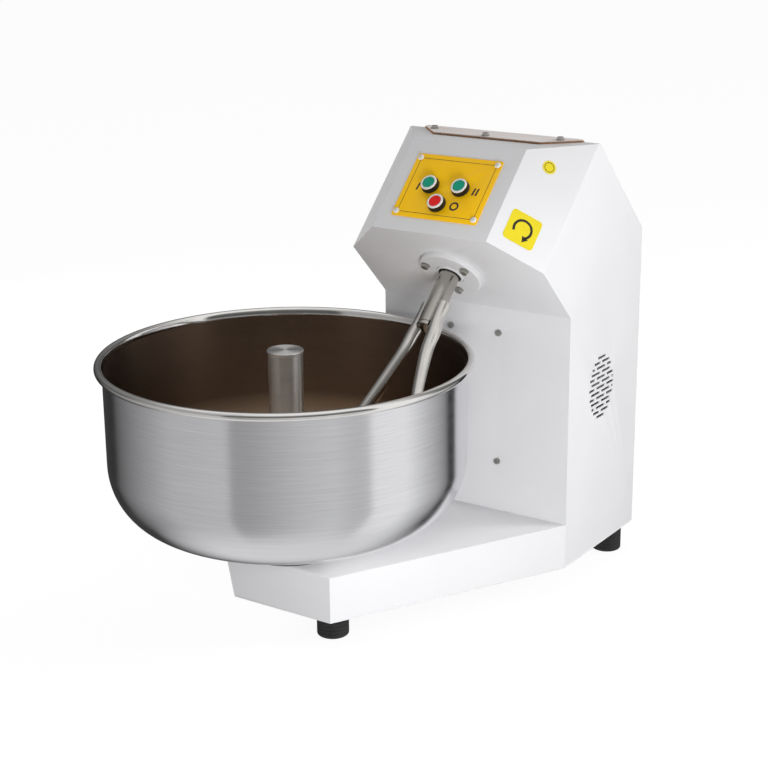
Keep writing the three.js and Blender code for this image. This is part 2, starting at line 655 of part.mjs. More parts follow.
// A chain wheel: pitch radius grows with its number of teeth.
function sprocket(teeth, bore) {
  const pitch = SPROCKET_PITCH_RADIUS * teeth;
  const outline = [];
  const turns = [[-0.32, -2.6], [-0.12, 2.4], [0.12, 2.4], [0.32, -2.6]];
  for (let tooth = 0; tooth < teeth; tooth += 1) {
    for (const [part, rise] of turns) {
      const angle = ((tooth + part) / teeth) * 2 * Math.PI;
      outline.push([(pitch + rise) * Math.cos(angle), (pitch + rise) * Math.sin(angle)]);
    }
  }
  return subtract(plate(outline, SPROCKET_Z - 3, SPROCKET_Z + 3), rod(bore, 0, 300, 16));
}

function driveChain() {
  const radius = (teeth) => SPROCKET_PITCH_RADIUS * teeth + 2.4 + GAP;
  const [dx, dy] = [GEARMOTOR_X - BOWL_X, GEARMOTOR_Y - BOWL_Y];
  const band = loopBand(radius(BOWL_SPROCKET_TEETH), radius(MOTOR_SPROCKET_TEETH), Math.hypot(dx, dy), 5,
    SPROCKET_Z - 3.5, SPROCKET_Z + 3.5);
  return band.rotate([0, 0, -THREE.MathUtils.radToDeg(Math.atan2(dx, dy))]);
}

// A right-angle gear motor that turns the chain's small wheel.
function gearmotor() {
  const gearbox = box([-55, -55, 132], [55, 55, 240]);
  const boss = rod(26, 118, 140, 16);
  const motor = place(rod(50, 40, 225, 20), frame([0, 0, 186], [0, 1, 0], [1, 0, 0]));
  const bore = rod(9.5, 100, 160, 12);
  return subtract(join(gearbox, boss, motor), bore);
}

function gearmotorSprocket() {
  const shaft = rod(9, SPROCKET_Z - 8, 155, 12);
  return join(sprocket(MOTOR_SPROCKET_TEETH, 8), shaft, rod(13, SPROCKET_Z + 2, SPROCKET_Z + 14, 12));
}

// The shelf that the gear motor stands on.
function gearboxShelf() {
  const half = CABINET_HALF - SHEET - GAP;
  const shelf = box([-half, SHEET + GAP, 126], [half, 190, 132 - GAP]);
  const lips = [-1, 1].map((side) => box(
    [side > 0 ? half - 3 : -half, SHEET + GAP, 127], [side > 0 ? half : -half + 3, 190, 156]));
  return subtract(join(shelf, ...lips), rod(27, 100, 160, 28).translate(GEARMOTOR_X, GEARMOTOR_Y, 0));
}

// ---- assembly -------------------------------------------------------------------------------------

add('body_shell', bodyShell(), paint());
add('base_tongue', baseTongue(), paint());
add('base_plate', basePlate(), paint());
for (const [name, [x, y]] of Object.entries(FEET)) {
  add(name, foot(), rubber(), new THREE.Matrix4().makeTranslation(x, y, 0));
}
COLUMN_BOLTS.forEach(([x, z], index) => {
  add(`column_bolt_${index + 1}`, hexBolt(10, 4, 3.5, 12), zinc(), frame([x, 0, z], [1, 0, 0], [0, -1, 0]));
});

add('service_cover', serviceCover(), finish(0xd9d4cf, 0.4, 0));
add('service_gasket', serviceGasket(), finish(0x9a6a43, 0.8, 0));
COVER_BOLTS.forEach(([x, y], index) => {
  const seat = CABINET_TOP + GAP * 2 + COVER.gasket + COVER.sheet;
  add(`service_cover_bolt_${index + 1}`, rod(6, GAP, 1.5, 12).add(rod(7.5, 1.4, 6, 6)), zinc(),
    new THREE.Matrix4().makeTranslation(x, y, seat));
});
add('rear_cover', rearCover(), paint());
for (const [index, [side, z]] of [[-1, 102], [1, 102], [-1, 568], [1, 568]].entries()) {
  add(`rear_cover_screw_${index + 1}`, roundScrew(4.5, 3), zinc(),
    frame([side * (REAR_WINDOW.half + 8), CABINET_DEPTH + GAP + 1.5, z], [1, 0, 0], [0, 1, 0]));
}
add('cable_gland', cableGland(), blackPlastic(), GLAND);

add('control_plate', controlPlate(), finish(0xe9a80c, 0.4, 0), PANEL);
for (const [index, [across, up]] of [[-1, -1], [1, -1], [-1, 1], [1, 1]].entries()) {
  const spot = new THREE.Matrix4().makeTranslation(
    PANEL_PLATE_X + across * (PANEL_PLATE_WIDTH / 2 - 8),
    PANEL_PLATE_CENTRE + up * (PANEL_PLATE_HEIGHT / 2 - 9),
    GAP + PANEL_PLATE_THICKNESS);
  add(`control_plate_screw_${index + 1}`, roundScrew(5.8, 4.5), polished(), PANEL.clone().multiply(spot));
}
for (const { name, x, up, colour } of BUTTONS) {
  const spot = PANEL.clone().multiply(new THREE.Matrix4().makeTranslation(x, up, 0));
  add(`${name}_housing`, buttonHousing(), blackPlastic(), spot);
  add(`${name}_cap`, buttonCap(), finish(colour, 0.35, 0), spot);
}

add('agitator_flange', agitatorFlange(), zinc(), AGITATOR);
FLANGE_BOLT_ANGLES.forEach((angle, index) => {
  const spot = new THREE.Matrix4().makeTranslation(
    FLANGE_BOLT_CIRCLE * Math.cos(angle), FLANGE_BOLT_CIRCLE * Math.sin(angle), 10);
  add(`agitator_flange_bolt_${index + 1}`, hexBolt(13, 5.5, 4, 12), zinc(), AGITATOR.clone().multiply(spot));
});
add('agitator_seal', agitatorSeal(), rubber(), AGITATOR);
add('agitator_bearing_housing', bearingHousing(), castIron(), AGITATOR);
add('agitator_bearing_lower', lowerBearing(), polished(), AGITATOR);
add('agitator_bearing_upper', upperBearing(), polished(), AGITATOR);
add('agitator_shaft', agitatorShaft(), polished(), FORK);
add('agitator_tine_right', tine(), polished(), FORK);
add('agitator_tine_left', tine().rotate([0, 0, 180]), polished(), FORK);
add('agitator_pulley', agitatorPulley(), castIron(), AGITATOR);
add('drive_plate', drivePlate(), castIron(), AGITATOR);
add('motor_body', motorBody(), finish(0x3f6f8f, 0.5, 0.3), MOTOR);
add('motor_pulley', motorPulley(), castIron(), MOTOR);
add('drive_belt', driveBelt(), rubber(), AGITATOR);

add('bowl', bowlShell(), brushed(), BOWL);
add('bowl_post', bowlPost(), brushed(), BOWL);
add('bowl_hub', bowlHub(), castIron(), BOWL);
add('bowl_sprocket', sprocket(BOWL_SPROCKET_TEETH, 12 + GAP), castIron(), BOWL);
add('bowl_bearing_housing', bowlBearingHousing(), castIron(), BOWL);
add('bowl_bearing', bowlBearing(), polished(), BOWL);
add('gearmotor', gearmotor(), finish(0x3f6f8f, 0.5, 0.3), GEARMOTOR);
add('gearmotor_sprocket', gearmotorSprocket(), castIron(), GEARMOTOR);
add('gearbox_shelf', gearboxShelf(), castIron());
add('drive_chain', driveChain(), castIron(), BOWL);

// The footprint runs from the bowl's rim to the cabinet's right wall and rear cable gland.
mixer.position.set(
  -(BOWL_X - BOWL_RIM_RADIUS + CABINET_HALF) / 2,
  -(BOWL_Y - BOWL_RIM_RADIUS + CABINET_DEPTH + GLAND_REACH) / 2,
  0);

export default mixer;
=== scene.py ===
import json
import math

import bmesh
import bpy
from mathutils import Matrix, Vector

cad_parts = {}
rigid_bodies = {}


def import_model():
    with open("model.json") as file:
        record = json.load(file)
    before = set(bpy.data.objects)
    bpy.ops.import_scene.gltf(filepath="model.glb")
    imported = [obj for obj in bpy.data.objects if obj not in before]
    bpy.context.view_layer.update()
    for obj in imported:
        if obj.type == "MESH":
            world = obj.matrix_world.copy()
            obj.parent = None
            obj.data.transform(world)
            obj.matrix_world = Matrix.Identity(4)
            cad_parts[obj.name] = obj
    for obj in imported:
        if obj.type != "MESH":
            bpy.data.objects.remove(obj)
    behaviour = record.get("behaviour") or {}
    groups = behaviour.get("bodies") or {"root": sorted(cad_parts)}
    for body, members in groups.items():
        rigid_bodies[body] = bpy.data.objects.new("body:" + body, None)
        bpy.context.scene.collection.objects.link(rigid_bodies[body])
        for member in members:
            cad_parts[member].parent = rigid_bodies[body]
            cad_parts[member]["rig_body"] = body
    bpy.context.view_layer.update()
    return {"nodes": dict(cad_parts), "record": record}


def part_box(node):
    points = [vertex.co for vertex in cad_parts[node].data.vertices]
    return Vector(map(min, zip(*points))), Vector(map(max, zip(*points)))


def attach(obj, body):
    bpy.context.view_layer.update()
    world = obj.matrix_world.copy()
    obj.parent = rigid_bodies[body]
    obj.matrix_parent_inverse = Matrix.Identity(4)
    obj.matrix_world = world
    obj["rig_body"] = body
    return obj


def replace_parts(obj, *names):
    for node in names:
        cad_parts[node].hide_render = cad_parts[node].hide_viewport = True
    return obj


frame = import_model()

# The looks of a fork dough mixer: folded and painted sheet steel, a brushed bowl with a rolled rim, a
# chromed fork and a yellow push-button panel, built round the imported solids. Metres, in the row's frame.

DIAGONAL = math.sqrt(0.5)  # every slope of the head is at 45 degrees

# ---- places and sizes ------------------------------------------------------------------------------

SHELL_LOW, SHELL_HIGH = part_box("body_shell")
CABINET_DEPTH = 0.276
FRONT_Y = SHELL_HIGH.y - CABINET_DEPTH  # the column's front face
HEAD_REACH = FRONT_Y - SHELL_LOW.y  # how far the head leans over the bowl
CENTRE_X = (SHELL_LOW.x + SHELL_HIGH.x) / 2
CABINET_HALF = (SHELL_HIGH.x - SHELL_LOW.x) / 2
PANEL_LENGTH = 0.135 * math.sqrt(2)
CHAMFER = 0.080

BOWL_LOW, BOWL_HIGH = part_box("bowl")
BOWL_AXIS = (BOWL_LOW + BOWL_HIGH) / 2
BOWL_AXIS.z = 0
RIM_RADIUS = (BOWL_HIGH.x - BOWL_LOW.x) / 2
RIM_BEAD = 0.007
RIM_Z = BOWL_HIGH.z - RIM_BEAD
WALL_RADIUS = RIM_RADIUS - 0.013
BOWL_SHEET = 0.0025
CORNER_WIDTH, CORNER_HEIGHT = 0.100, 0.112

SHAFT_FORWARD = 0.079  # how far before the column the shaft leaves the head
SHAFT_RADIUS = 0.018
SHAFT_END = 0.122  # along the agitator's axis, from the head's lower face
SHAFT_TOP = -0.196
SEAT_RADIUS, SEAT_END = 0.016, -0.156  # the shaft is slimmer above this, where its pulley sits
TINE_RADIUS = 0.012
TINE_OFFSET = 0.021
TINE_START = 0.072
TINE_SPREAD, TINE_TIP = 0.103, 0.494
FORK_TURN = math.radians(20)  # the fork rests turned by this much about the shaft
FLANGE_RADIUS = 0.058
FLANGE_TOP = 0.010
FLANGE_BOLT_CIRCLE = 0.046
FLANGE_BOLT_ANGLES = [math.radians(30), math.radians(150), math.radians(270)]

PLATE_WIDTH, PLATE_HEIGHT = 0.172, 0.132
PLATE_X, PLATE_CENTRE = -0.002, 0.094  # across the panel, and up it from its lower edge
PLATE_TOP = 0.0018
BUTTONS = {
    "button_speed_1": (-0.035, 0.095, "green_plastic", "speed_1_button"),
    "button_speed_2": (0.026, 0.095, "green_plastic", "speed_2_button"),
    "button_stop": (-0.006, 0.059, "red_plastic", "stop_button"),
}
BUTTON_RADIUS = 0.0145
BUTTON_HEIGHT = 0.012
CAP_RADIUS = 0.0105


def placement(origin, x_axis, z_axis):
    """A local frame as a matrix, from its origin and two of its axes."""
    x, z = Vector(x_axis).normalized(), Vector(z_axis).normalized()
    matrix = Matrix((x, z.cross(x), z)).transposed().to_4x4()
    matrix.translation = origin
    return matrix


NOSE = Vector((CENTRE_X, FRONT_Y - HEAD_REACH, SHELL_HIGH.z - PANEL_LENGTH * DIAGONAL))
# The panel: x to the right, y up the slope from its lower edge, z out of it.
PANEL = placement(NOSE, (1, 0, 0), (0, -DIAGONAL, DIAGONAL))
# The agitator's axis: z down the shaft from the head's lower face.
SHAFT_START = Vector((CENTRE_X, FRONT_Y - SHAFT_FORWARD, NOSE.z - (HEAD_REACH - SHAFT_FORWARD)))
AGITATOR = placement(SHAFT_START, (1, 0, 0), (0, -DIAGONAL, -DIAGONAL))
FORK = AGITATOR @ Matrix.Rotation(FORK_TURN, 4, "Z")
# The right-hand chamfer of the head: x across it from the panel, y up the slope, z out of it.
CHAMFER_FACE = placement(
    NOSE + Vector((CABINET_HALF - CHAMFER, 0, 0)),
    Vector((DIAGONAL, 0.5, -0.5)), Vector((DIAGONAL, -0.5, 0.5)))

# ---- camera, light and floor -----------------------------------------------------------------------

CAMERA_PLACE = (1.6900, -2.3967, 1.3095)
CAMERA_ANGLES = (34.0, 17.42, -0.54)  # azimuth from the front to the right, elevation, roll
FOCAL_LENGTH, SENSOR_WIDTH = 80.61, 36


def make_camera():
    camera = bpy.data.objects.new("camera", bpy.data.cameras.new("camera"))
    bpy.context.scene.collection.objects.link(camera)
    azimuth, elevation, roll = map(math.radians, CAMERA_ANGLES)
    back = Vector((
        math.sin(azimuth) * math.cos(elevation), -math.cos(azimuth) * math.cos(elevation),
        math.sin(elevation)))
    right = Vector((math.cos(azimuth), math.sin(azimuth), 0))
    camera.matrix_world = placement(CAMERA_PLACE, right, back) @ Matrix.Rotation(roll, 4, "Z")
    camera.data.lens, camera.data.sensor_width = FOCAL_LENGTH, SENSOR_WIDTH
    bpy.context.scene.camera = camera


def connect(tree, kind, inputs=None, **settings):
    """Adds a shader node. An input is a value or another node's output; returns the node's outputs."""
    made = tree.nodes.new("ShaderNode" + kind)
    for name, value in settings.items():
        setattr(made, name, value)
    for name, value in (inputs or {}).items():
        if isinstance(value, bpy.types.NodeSocket):
            tree.links.new(value, made.inputs[name])
        else:
            made.inputs[name].default_value = value
    return made.outputs


def math_node(tree, operation, *values):
    return connect(tree, "Math", dict(enumerate(values)), operation=operation)[0]


def mix(tree, factor, first, second, blend="MIX"):
    """One colour over another. The node's sockets share their names, so the colours go in by number."""
    inputs = {"Factor": factor, 6: first, 7: second}
    return connect(tree, "Mix", inputs, data_type="RGBA", blend_type=blend)[2]


def ramp(tree, factor, stops):
    """A colour ramp; the stops are (position, grey or colour)."""
    outputs = connect(tree, "ValToRGB", {"Fac": factor})
    elements = outputs[0].node.color_ramp.elements
    while len(elements) > 1:
        elements.remove(elements[-1])
    for index, (position, shade) in enumerate(stops):
        element = elements[0] if index == 0 else elements.new(position)
        element.position = position
        element.color = (*shade, 1) if isinstance(shade, tuple) else (shade, shade, shade, 1)
    return outputs["Color"]


# What the steel mirrors: brightness by compass direction, where 0 is the side that the bowl faces and 90
# the side with the vents. Flags darken both rear corners, and a big softbox stands on the right.
STUDIO_WALL = [
    (-180, 0.07), (-172, 0.12), (-140, 0.06), (-101, 0.03), (-95, 0.13), (-58, 0.40), (-41, 0.54),
    (-1, 0.61), (2, 0.38), (15, 0.42), (47, 0.62), (66, 0.69), (80, 0.60), (89, 0.60), (92, 0.94),
    (117, 0.97), (133, 0.67), (156, 0.30), (160, 0.02), (170, 0.02), (180, 0.07),
]
# Where the dark studio begins above that wall: 1 is at once, and 0 is nowhere, as over the softbox.
WALL_END = [
    (-180, 1.0), (-75, 1.0), (-58, 0.45), (-3, 0.45), (2, 1.0), (88, 1.0), (92, 0.0), (128, 0.0),
    (140, 1.0), (180, 1.0),
]
# By height, from 0 at the nadir to 1 at the zenith: where the wall gives way to what is over it, what is
# there, and where it gives way to the floor.
ABOVE_WALL = [(0.47, 0.0), (0.56, 1.0)]
OVERHEAD = [(0.60, 0.10), (0.84, 0.28), (0.94, 0.90)]
BELOW_WALL = [(0.04, 1.0), (0.16, 0.0)]
FLOOR_BELOW = (0.82, 0.82, 0.82, 1)
# What the paint is lit by: brightness from the nadir up to the zenith, with a flag before the panel.
STUDIO_SKY = [
    (0.0, 0.35), (0.40, 0.45), (0.48, 0.70), (0.50, 1.05), (0.62, 1.00), (0.72, 0.70), (0.84, 0.60),
    (0.93, 1.00), (1.0, 1.80),
]
PANEL_FLAG = [(0.35, 1.0), (0.85, 0.20)]  # by the cosine of the angle from straight before the panel
SKY_TILT = -0.25  # how much brighter the sky is on the right than in the middle


def make_world():
    world = bpy.data.worlds.new("studio")
    bpy.context.scene.world = world
    world.use_nodes = True
    tree = world.node_tree
    tree.nodes.clear()
    direction = connect(tree, "TexCoord")["Generated"]
    x, y, z = connect(tree, "SeparateXYZ", {"Vector": direction})
    compass = math_node(tree, "ARCTAN2", x, math_node(tree, "MULTIPLY", y, -1.0))
    turn = math_node(tree, "MULTIPLY_ADD", compass, 0.5 / math.pi, 0.5)
    height = math_node(tree, "MULTIPLY_ADD", z, 0.5, 0.5)
    wall, wall_end = [
        ramp(tree, turn, [((angle + 180) / 360, shade) for angle, shade in stops])
        for stops in (STUDIO_WALL, WALL_END)]
    above = math_node(tree, "MULTIPLY", wall_end, ramp(tree, height, ABOVE_WALL))
    mirrored = mix(tree, above, wall, ramp(tree, height, OVERHEAD))
    mirrored = mix(tree, ramp(tree, height, BELOW_WALL), mirrored, FLOOR_BELOW)
    facing = connect(tree, "VectorMath", {
        0: direction, 1: (0, -DIAGONAL, DIAGONAL)}, operation="DOT_PRODUCT")["Value"]
    flag = ramp(tree, facing, PANEL_FLAG)
    sky = mix(tree, 1.0, ramp(tree, height, STUDIO_SKY), flag, "MULTIPLY")
    ray = connect(tree, "LightPath")
    lit = mix(tree, ray["Is Diffuse Ray"], mirrored, sky)
    shade = mix(tree, ray["Is Camera Ray"], lit, (1, 1, 1, 1))
    tilt = math_node(tree, "MULTIPLY", x, ray["Is Diffuse Ray"])
    strength = math_node(tree, "MULTIPLY_ADD", tilt, SKY_TILT, 1.0)
    shader = connect(tree, "Background", {"Color": shade, "Strength": strength})["Background"]
    connect(tree, "OutputWorld", {"Surface": shader})


def area_light(name, position, target, size, power):
    light = bpy.data.lights.new(name, "AREA")
    light.shape, light.size, light.energy = "DISK", size, power
    made = bpy.data.objects.new(name, light)
    bpy.context.scene.collection.objects.link(made)
    made.location = position
    made.rotation_euler = (Vector(target) - Vector(position)).to_track_quat("-Z", "Y").to_euler()
    made.visible_glossy = False
    made.visible_camera = False


def make_lights():
    area_light("key_right", (4.2, 2.6, 2.4), (0, 0, 0.5), 1.8, 125)
    area_light("fill_column", (0.95, -0.85, 0.45), (0.05, 0.2, 0.4), 0.5, 9)
    area_light("fill_left", (-2.4, 0.3, 0.9), (0, 0, 0.6), 1.0, 26)


def make_floor():
    mesh = bpy.data.meshes.new("studio_floor")
    edge = 12.0
    corners = [(-edge, -edge, 0), (edge, -edge, 0), (edge, edge, 0), (-edge, edge, 0)]
    mesh.from_pydata(corners, [], [(0, 1, 2, 3)])
    floor = bpy.data.objects.new("studio_floor", mesh)
    bpy.context.scene.collection.objects.link(floor)
    material = bpy.data.materials.new("studio_floor")
    material.use_nodes = True
    tree = material.node_tree
    tree.nodes.clear()
    matte = connect(tree, "BsdfDiffuse", {"Color": (0.12, 0.12, 0.12, 1)})[0]
    glow = connect(tree, "Emission", {"Color": (1, 1, 1, 1), "Strength": 0.90})[0]
    both = connect(tree, "AddShader", {0: matte, 1: glow})[0]
    connect(tree, "OutputMaterial", {"Surface": both})
    mesh.materials.append(material)
    floor.visible_glossy = floor.visible_diffuse = False


# ---- materials -------------------------------------------------------------------------------------


def surface(name, colour, roughness, metallic=0.0, scale=40.0, tint=0.05, wear=0.08, bump=0.0,
            bump_scale=900.0, **inputs):
    """A principled material whose colour, roughness and bump vary with noise in the piece's own space.
    tint and wear are how far colour and roughness vary."""
    material = bpy.data.materials.new(name)
    material.use_nodes = True
    tree = material.node_tree
    shader = tree.nodes["Principled BSDF"]
    place = connect(tree, "TexCoord")["Object"]
    cloud = connect(tree, "TexNoise", {"Vector": place, "Scale": scale, "Detail": 4.0})["Fac"]
    dark = tuple(channel * (1 - tint) for channel in colour)
    light = tuple(min(1, channel * (1 + tint)) for channel in colour)
    tree.links.new(ramp(tree, cloud, [(0.3, dark), (0.7, light)]), shader.inputs["Base Color"])
    rough = connect(tree, "MapRange", {
        "Value": cloud, "From Min": 0.3, "From Max": 0.7,
        "To Min": roughness - wear / 2, "To Max": roughness + wear / 2})["Result"]
    tree.links.new(rough, shader.inputs["Roughness"])
    shader.inputs["Metallic"].default_value = metallic
    if bump:
        fine = connect(tree, "TexNoise", {"Vector": place, "Scale": bump_scale, "Detail": 2.0})["Fac"]
        relief = connect(tree, "Bump", {"Height": fine, "Strength": bump, "Distance": 0.0004})["Normal"]
        tree.links.new(relief, shader.inputs["Normal"])
    for key, value in inputs.items():
        shader.inputs[key.replace("_", " ")].default_value = value
    return material


def brushed_steel(name, colour, roughness, streaks, painted_reflection_by_height=None):
    """Steel brushed round the piece's own z axis: rings of fine streaks and a stretched highlight."""
    material = bpy.data.materials.new(name)
    material.use_nodes = True
    tree = material.node_tree
    shader = tree.nodes["Principled BSDF"]
    x, y, z = connect(tree, "SeparateXYZ", {"Vector": connect(tree, "TexCoord")["Object"]})
    radius = math_node(tree, "SQRT", math_node(
        tree, "ADD", math_node(tree, "MULTIPLY", x, x), math_node(tree, "MULTIPLY", y, y)))
    rings = connect(tree, "CombineXYZ", {
        "X": math_node(tree, "MULTIPLY", x, 0.012), "Y": math_node(tree, "MULTIPLY", y, 0.012),
        "Z": math_node(tree, "ADD", z, radius)})[0]
    fine = connect(tree, "TexNoise", {
        "Vector": rings, "Scale": streaks, "Detail": 6.0, "Roughness": 0.7})["Fac"]
    broad = connect(tree, "TexNoise", {"Vector": rings, "Scale": streaks / 14, "Detail": 3.0})["Fac"]
    dark, light = [tuple(c * k for c in colour) for k in (0.90, 1.05)]
    base = ramp(tree, fine, [(0.3, dark), (0.7, light)])
    # Given heights and colours, the colour is multiplied by painted reflection and shade: much lighter at
    # the low height, darker from a little above it up to the high one.
    if painted_reflection_by_height:
        low, high, deep, painted_highlight = painted_reflection_by_height
        level = connect(tree, "MapRange", {"Value": z, "From Min": low, "From Max": high})["Result"]
        shade = ramp(tree, level, [(0.0, painted_highlight), (0.45, deep), (1.0, deep)])
        base = mix(tree, 1.0, base, shade, "MULTIPLY")
    tree.links.new(base, shader.inputs["Base Color"])
    rough = connect(tree, "MapRange", {
        "Value": broad, "From Min": 0.3, "From Max": 0.7,
        "To Min": roughness - 0.03, "To Max": roughness + 0.03})["Result"]
    tree.links.new(rough, shader.inputs["Roughness"])
    relief = connect(tree, "Bump", {"Height": fine, "Strength": 0.02, "Distance": 0.0002})["Normal"]
    tree.links.new(relief, shader.inputs["Normal"])
    tangent = connect(tree, "Tangent", direction_type="RADIAL", axis="Z")[0]
    tree.links.new(tangent, shader.inputs["Tangent"])
    shader.inputs["Metallic"].default_value = 1.0
    shader.inputs["Anisotropic"].default_value = 0.85
    shader.inputs["Anisotropic Rotation"].default_value = 0.25
    return material


def make_materials():
    return {
        "white_paint": surface(
            "white_paint", (0.83, 0.83, 0.845), 0.36, scale=9, tint=0.012, wear=0.06, bump=0.06,
            bump_scale=700, Coat_Weight=0.25, Coat_Roughness=0.18),
        "cover_paint": surface(
            "cover_paint", (0.86, 0.80, 0.77), 0.42, scale=12, tint=0.02, bump=0.06, bump_scale=700),
        "gasket_cork": surface(
            "gasket_cork", (0.34, 0.17, 0.075), 0.85, scale=600, tint=0.45, wear=0.2, bump=0.6),
        "polished_steel": surface(
            "polished_steel", (0.80, 0.785, 0.765), 0.09, 1.0, scale=60, tint=0.03, wear=0.05, bump=0.02,
            bump_scale=1500),
        "fork_steel": surface(
            "fork_steel", (0.68, 0.66, 0.63), 0.20, 1.0, scale=45, tint=0.05, wear=0.08, bump=0.03,
            bump_scale=1500),
        "shaft_steel": surface(
            "shaft_steel", (0.47, 0.445, 0.41), 0.24, 1.0, scale=45, tint=0.06, wear=0.08, bump=0.03,
            bump_scale=1500),
        "zinc_steel": surface(
            "zinc_steel", (0.50, 0.49, 0.46), 0.36, 1.0, scale=350, tint=0.2, wear=0.2, bump=0.08),
        "cast_iron": surface(
            "cast_iron", (0.20, 0.205, 0.21), 0.6, 0.6, scale=120, tint=0.2, wear=0.2, bump=0.5,
            bump_scale=1200),
        "motor_paint": surface(
            "motor_paint", (0.07, 0.17, 0.27), 0.45, scale=30, tint=0.08, bump=0.15, bump_scale=500),
        "black_plastic": surface(
            "black_plastic", (0.008, 0.008, 0.009), 0.35, scale=90, tint=0.3, bump=0.1, bump_scale=2500),
        "rubber": surface(
            "rubber", (0.020, 0.020, 0.021), 0.7, scale=120, tint=0.35, wear=0.25, bump=0.3,
            bump_scale=1600),
        # The yellow plate's emission is painted light: it makes the plate glow a little, though it is no
        # lamp.
        "yellow_plate": surface(
            "yellow_plate", (0.98, 0.56, 0.004), 0.45, scale=25, tint=0.03, wear=0.08, bump=0.04,
            bump_scale=1200, Specular_IOR_Level=0.25, Emission_Color=(0.98, 0.56, 0.004, 1),
            Emission_Strength=0.14),
        "green_plastic": surface(
            "green_plastic", (0.0, 0.36, 0.22), 0.30, scale=150, tint=0.1, bump=0.03,
            Specular_IOR_Level=0.25),
        "red_plastic": surface(
            "red_plastic", (0.88, 0.010, 0.012), 0.30, scale=150, tint=0.08, bump=0.03,
            Specular_IOR_Level=0.25),
        "brushed_steel": brushed_steel("brushed_steel", (0.76, 0.76, 0.785), 0.20, 900),
        "post_steel": brushed_steel("post_steel", (0.88, 0.87, 0.85), 0.38, 900),
        # The bowl's inside is the same brushed steel with painted reflection and shade: a dark brown
        # colour, painted much lighter towards the bottom.
        "bowl_inside_painted_reflection": brushed_steel(
            "bowl_inside_painted_reflection", (0.29, 0.22, 0.175), 0.40, 700,
            (BOWL_LOW.z, RIM_Z, (0.60, 0.55, 0.50), (4.0, 4.2, 4.2))),
        "ink": surface("ink", (0.030, 0.024, 0.016), 0.5, scale=300, tint=0.3),
        "bezel_white": surface(
            "bezel_white", (0.88, 0.88, 0.86), 0.25, 0.15, scale=200, tint=0.05, Coat_Weight=0.4),
        "sticker_yellow": surface(
            "sticker_yellow", (0.85, 0.70, 0.010), 0.4, scale=60, tint=0.03, Coat_Weight=0.3),
        "weld": surface(
            "weld", (0.52, 0.49, 0.45), 0.30, 1.0, scale=700, tint=0.35, wear=0.25, bump=0.5,
            bump_scale=1500),
    }


# ---- mesh tools ------------------------------------------------------------------------------------


def object_from(name, mesh, body, slot, matrix=None, finish=None):
    """A piece from a finished bmesh, with its place, body and material: its finish's, or else its slot's.
    """
    data = bpy.data.meshes.new(name)
    bmesh.ops.recalc_face_normals(mesh, faces=mesh.faces)
    mesh.to_mesh(data)
    mesh.free()
    piece = bpy.data.objects.new(name, data)
    bpy.context.scene.collection.objects.link(piece)
    piece.matrix_world = matrix or Matrix.Identity(4)
    data.materials.append(MATERIALS[finish or slot])
    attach(piece, body)
    return piece


def smooth(piece, degrees=35):
    piece.data.shade_smooth()
    piece.data.set_sharp_from_angle(angle=math.radians(degrees))
    return piece


def bevel(piece, width, segments=2, degrees=28, weighted=False):
    """Rounds the sharp edges, or only those that carry a bevel weight."""
    modifier = piece.modifiers.new("rounding", "BEVEL")
    modifier.width, modifier.segments = width, segments
    modifier.limit_method = "WEIGHT" if weighted else "ANGLE"
    modifier.angle_limit = math.radians(degrees)
    modifier.harden_normals = True
    piece.data.shade_smooth()
    return piece


ON_AXIS = 1e-7  # a radius below this is a point


def lathe(mesh, outline, segments, closed=False):
    """Turns an outline of (radius, height) round z. closed joins its last point to its first."""
    turns = [2 * math.pi * k / segments for k in range(segments)]
    rings = []
    for radius, height in outline:
        ring = [(radius * math.cos(a), radius * math.sin(a), height) for a in turns]
        rings.append([mesh.verts.new(spot) for spot in (ring if radius > ON_AXIS else [(0, 0, height)])])
    pairs = list(zip(rings, rings[1:])) + ([(rings[-1], rings[0])] if closed else [])
    for low, high in pairs:
        for k in range(segments):
            a, b = k, (k + 1) % segments
            corners = [low[a % len(low)], low[b % len(low)], high[b % len(high)], high[a % len(high)]]
            corners = list(dict.fromkeys(corners))
            if len(corners) > 2:
                mesh.faces.new(corners)
    return mesh


def turned(name, outline, segments, body, slot, matrix, closed=False, finish=None, degrees=35):
    mesh = lathe(bmesh.new(), outline, segments, closed)
    return smooth(object_from(name, mesh, body, slot, matrix, finish), degrees)


def arc(centre, radius, start, end, steps):
    """Points on an arc as (x, y), with angles in degrees; radius may be (x radius, y radius)."""
    rx, ry = radius if isinstance(radius, tuple) else (radius, radius)
    angles = [math.radians(start + (end - start) * k / steps) for k in range(steps + 1)]
    return [(centre[0] + rx * math.cos(a), centre[1] + ry * math.sin(a)) for a in angles]


def rounded_rectangle(width, height, radius, steps=6):
    x, y = width / 2 - radius, height / 2 - radius
    outline = []
    for quarter, centre in enumerate(((x, y), (-x, y), (-x, -y), (x, -y))):
        outline += arc(centre, radius, 90 * quarter, 90 * quarter + 90, steps)
    return outline


def slab(mesh, outline, bottom, top, holes=()):
    """A flat plate between two heights, with its holes cut through."""
    loops = [outline, *holes]
    for height in (bottom, top):
        edges = []
        for loop in loops:
            verts = [mesh.verts.new((x, y, height)) for x, y in loop]
            edges += [mesh.edges.new((verts[k - 1], verts[k])) for k in range(len(verts))]
        bmesh.ops.triangle_fill(mesh, use_beauty=True, use_dissolve=True, edges=edges)
    mesh.verts.ensure_lookup_table()
    count = sum(len(loop) for loop in loops)
    start = len(mesh.verts) - 2 * count
    for loop in loops:
        for k in range(len(loop)):
            a, b = start + k, start + (k + 1) % len(loop)
            mesh.faces.new([mesh.verts[i] for i in (a, b, b + count, a + count)])
        start += len(loop)
    return mesh


LARGE_FACE, LONG_EDGE = 0.003, 0.05  # square metres and metres: what counts as a bend of the sheet


